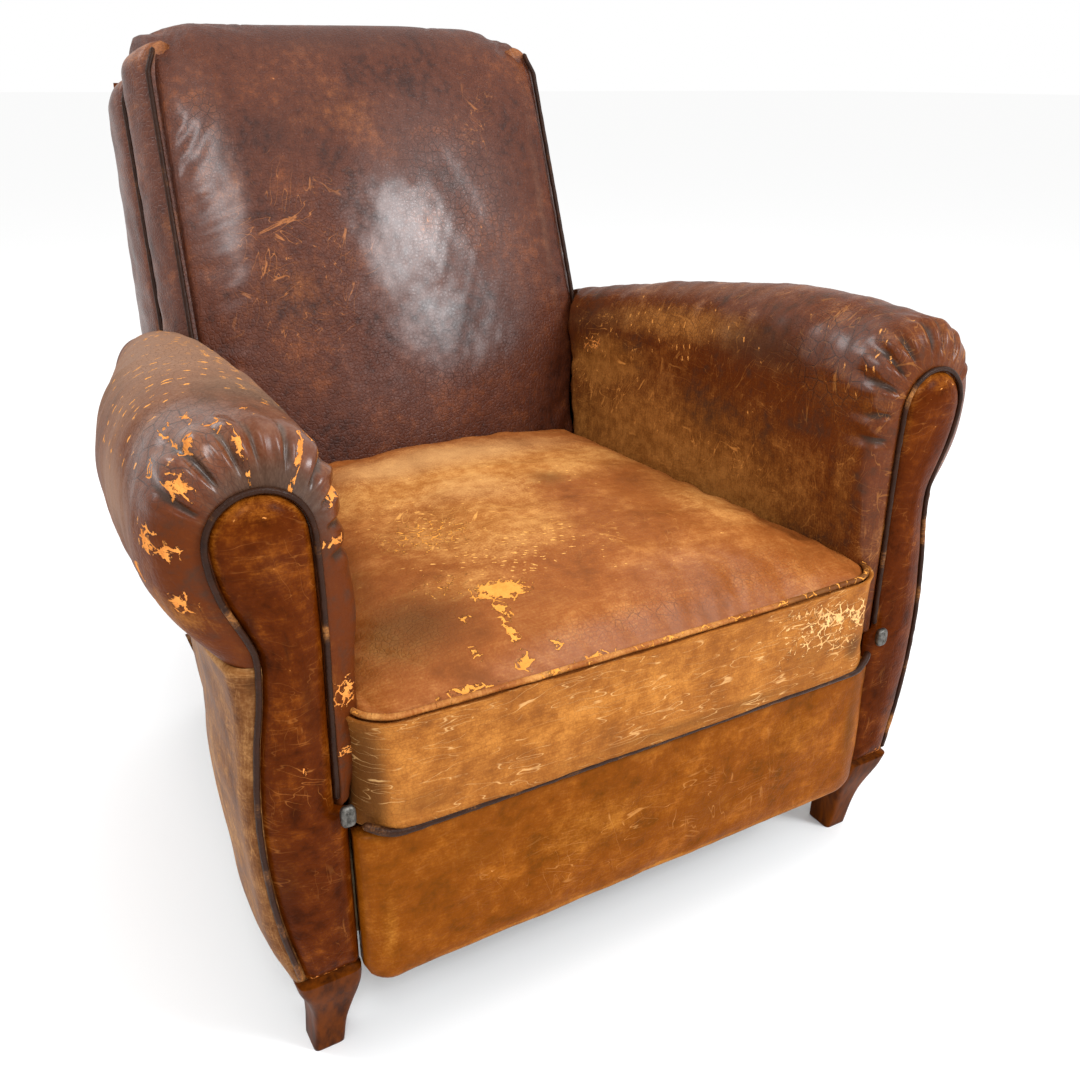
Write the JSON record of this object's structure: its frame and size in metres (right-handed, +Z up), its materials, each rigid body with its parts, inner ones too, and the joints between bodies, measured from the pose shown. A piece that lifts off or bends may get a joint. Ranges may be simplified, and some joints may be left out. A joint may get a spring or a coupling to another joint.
{
  "type": "worn club chair",
  "caption": "Leather armchair with padded roll arms, a raked back and a coil-sprung seat on a wooden frame; its leather is rubbed, cracked and scuffed.",
  "frame": {"origin": "on the floor, below the middle of the chair's overall box", "axes": "+Z up, -Y the way the sitter faces, +X to the sitter's left hand"},
  "size_m": [0.81, 0.8171, 0.8642],
  "materials": {
    "back_leather": "aged oxblood brown, crackled, waxed sheen",
    "arm_leather": "aged brown, rubbed and flecked tan",
    "side_leather": "smooth caramel brown, scuffed",
    "seat_leather": "golden tan, rubbed bare in places",
    "apron_leather": "amber brown, mottled",
    "cord_leather": "near-black polished piping",
    "leg_wood": "dark satin stain",
    "frame_wood": "bare beech",
    "jute": "coarse jute",
    "horsehair": "matted horsehair",
    "spring_steel": "dull drawn wire",
    "stud_metal": "dull grey",
    "black_cotton": "plain dust cloth"
  },
  "bodies": {
    "root": {"back_pad": "back_leather", "side_roll_rear_right": "back_leather", "side_roll_rear_left": "back_leather", "arm_pad_right": "arm_leather", "arm_pad_left": "arm_leather", "side_roll_front_right": "arm_leather", "side_roll_front_left": "arm_leather", "arm_facing_right": "side_leather", "arm_facing_left": "side_leather", "outer_arm_panel_right": "side_leather", "outer_arm_panel_left": "side_leather", "outside_back": "side_leather", "seat_top_leather": "seat_leather", "seat_band": "seat_leather", "front_apron": "apron_leather", "seat_top_piping": "cord_leather", "seat_lower_welt": "cord_leather", "apron_welt": "cord_leather", "facing_piping_right": "cord_leather", "facing_piping_left": "cord_leather", "back_piping_front_right": "cord_leather", "back_piping_front_left": "cord_leather", "back_piping_rear_right": "cord_leather", "back_piping_rear_left": "cord_leather", "front_post_right": "leg_wood", "front_post_left": "leg_wood", "rear_post_right": "leg_wood", "rear_post_left": "leg_wood", "side_rail_right": "frame_wood", "side_rail_left": "frame_wood", "arm_rail_right": "frame_wood", "arm_rail_left": "frame_wood", "arm_stay_rail_right": "frame_wood", "arm_stay_rail_left": "frame_wood", "front_rail": "frame_wood", "back_rail": "frame_wood", "back_top_rail": "frame_wood", "back_stay_rail": "frame_wood", "front_corner_block_right": "frame_wood", "front_corner_block_left": "frame_wood", "rear_corner_block_right": "frame_wood", "rear_corner_block_left": "frame_wood", "seat_webbing": "jute", "back_webbing": "jute", "seat_hessian": "jute", "seat_stuffing": "horsehair", "seat_spring_1_1": "spring_steel", "seat_spring_1_2": "spring_steel", "seat_spring_1_3": "spring_steel", "seat_spring_2_1": "spring_steel", "seat_spring_2_2": "spring_steel", "seat_spring_2_3": "spring_steel", "seat_spring_3_1": "spring_steel", "seat_spring_3_2": "spring_steel", "seat_spring_3_3": "spring_steel", "piping_stud_right": "stud_metal", "piping_stud_left": "stud_metal", "bottom_cloth": "black_cotton"}
  },
  "joints": []
}
